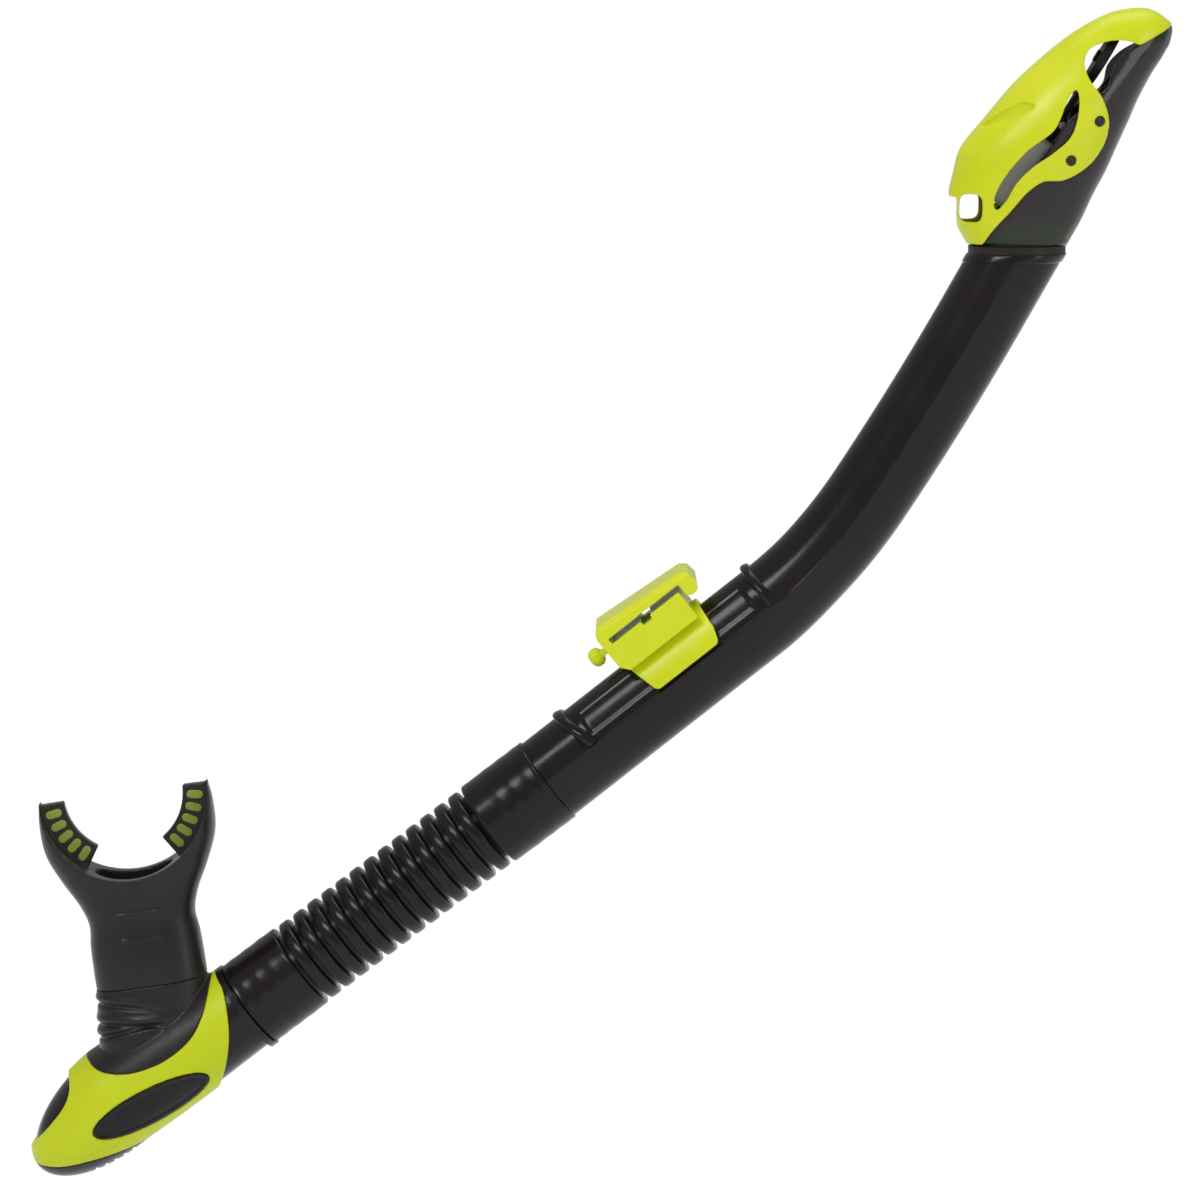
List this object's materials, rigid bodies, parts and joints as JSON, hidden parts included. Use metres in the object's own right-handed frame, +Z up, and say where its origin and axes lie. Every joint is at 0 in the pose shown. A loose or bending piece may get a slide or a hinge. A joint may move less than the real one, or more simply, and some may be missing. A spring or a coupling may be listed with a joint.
{
  "type": "snorkel",
  "caption": "Dry snorkel: oval bent barrel with a float valve under a hood, a sliding strap keeper, a ribbed flexible hose and a purge chamber with a bite mouthpiece.",
  "frame": {"origin": "centre of the strap slot in the keeper clip", "axes": "+X towards the hood's side, +Z up along the snorkel as worn, +Y across the snorkel, square to its plane of symmetry"},
  "size_m": [0.3649, 0.037, 0.3763],
  "materials": {
    "barrel_plastic": "gloss",
    "hose_rubber": "satin",
    "keeper_yellow": "gloss",
    "spring_steel": "satin",
    "chamber_black": "gloss",
    "cover_yellow": "satin",
    "trim_black": "gloss",
    "silicone_grey": "satin",
    "pad_olive": "satin",
    "seal_rubber": "matt",
    "smoke_clear": "gloss",
    "valve_black": "satin",
    "float_grey": "matt",
    "pin_steel": "satin",
    "hood_yellow": "gloss"
  },
  "bodies": {
    "barrel": {"barrel": "barrel_plastic", "barrel_seal": "seal_rubber", "valve_body": "smoke_clear", "valve_seat": "valve_black", "rocker_pin": "pin_steel", "hood": "hood_yellow"},
    "rocker": {"valve_rocker": "valve_black", "valve_float": "float_grey", "flap_seal": "seal_rubber"},
    "keeper": {"keeper_shoe": "keeper_yellow", "keeper_clip": "keeper_yellow", "button_spring": "spring_steel"},
    "button": {"keeper_button": "keeper_yellow"},
    "hose": {"hose": "hose_rubber"},
    "chamber": {"chamber_body": "chamber_black", "cuff_ring": "trim_black", "chamber_cover": "cover_yellow", "badge_left": "trim_black", "badge_right": "trim_black", "purge_seat": "valve_black", "purge_guard": "trim_black", "elbow": "silicone_grey", "mouthpiece": "silicone_grey", "bite_pads_far": "pad_olive", "bite_pads_near": "pad_olive"},
    "purge": {"purge_disc": "silicone_grey"}
  },
  "joints": [
    {"name": "float_rocker", "type": "hinge", "parent": "barrel", "child": "rocker", "pos_m": [0.13041, 0, 0.15375], "axis": [0, 1, 0], "range_deg": [0, 11]},
    {"name": "keeper_slide", "type": "slide", "parent": "barrel", "child": "keeper", "axis": [0.7848, 0, 0.6198], "range_m": [-0.021, 0.0165]},
    {"name": "keeper_release", "type": "slide", "parent": "keeper", "child": "button", "axis": [0.7848, 0, 0.6198], "range_m": [0, 0.0018], "stiffness_N_per_m": 600, "springref_m": -0.002, "deforming": ["button_spring"]},
    {"name": "hose_turn", "type": "hinge", "parent": "barrel", "child": "hose", "pos_m": [-0.03221, 0, -0.05602], "axis": [0.7965, 0, 0.6046], "range_deg": [-45, 45]},
    {"name": "hose_flex", "type": "hinge", "parent": "hose", "child": "chamber", "pos_m": [-0.08056, 0, -0.09272], "axis": [0, 1, 0], "range_deg": [-20, 50], "stiffness_Nm_per_rad": 0.6, "deforming": ["hose"]},
    {"name": "purge_lift", "type": "slide", "parent": "chamber", "child": "purge", "axis": [0.5635, 0, -0.8261], "range_m": [0, 0.0015], "stiffness_N_per_m": 60, "springref_m": -0.0005}
  ]
}
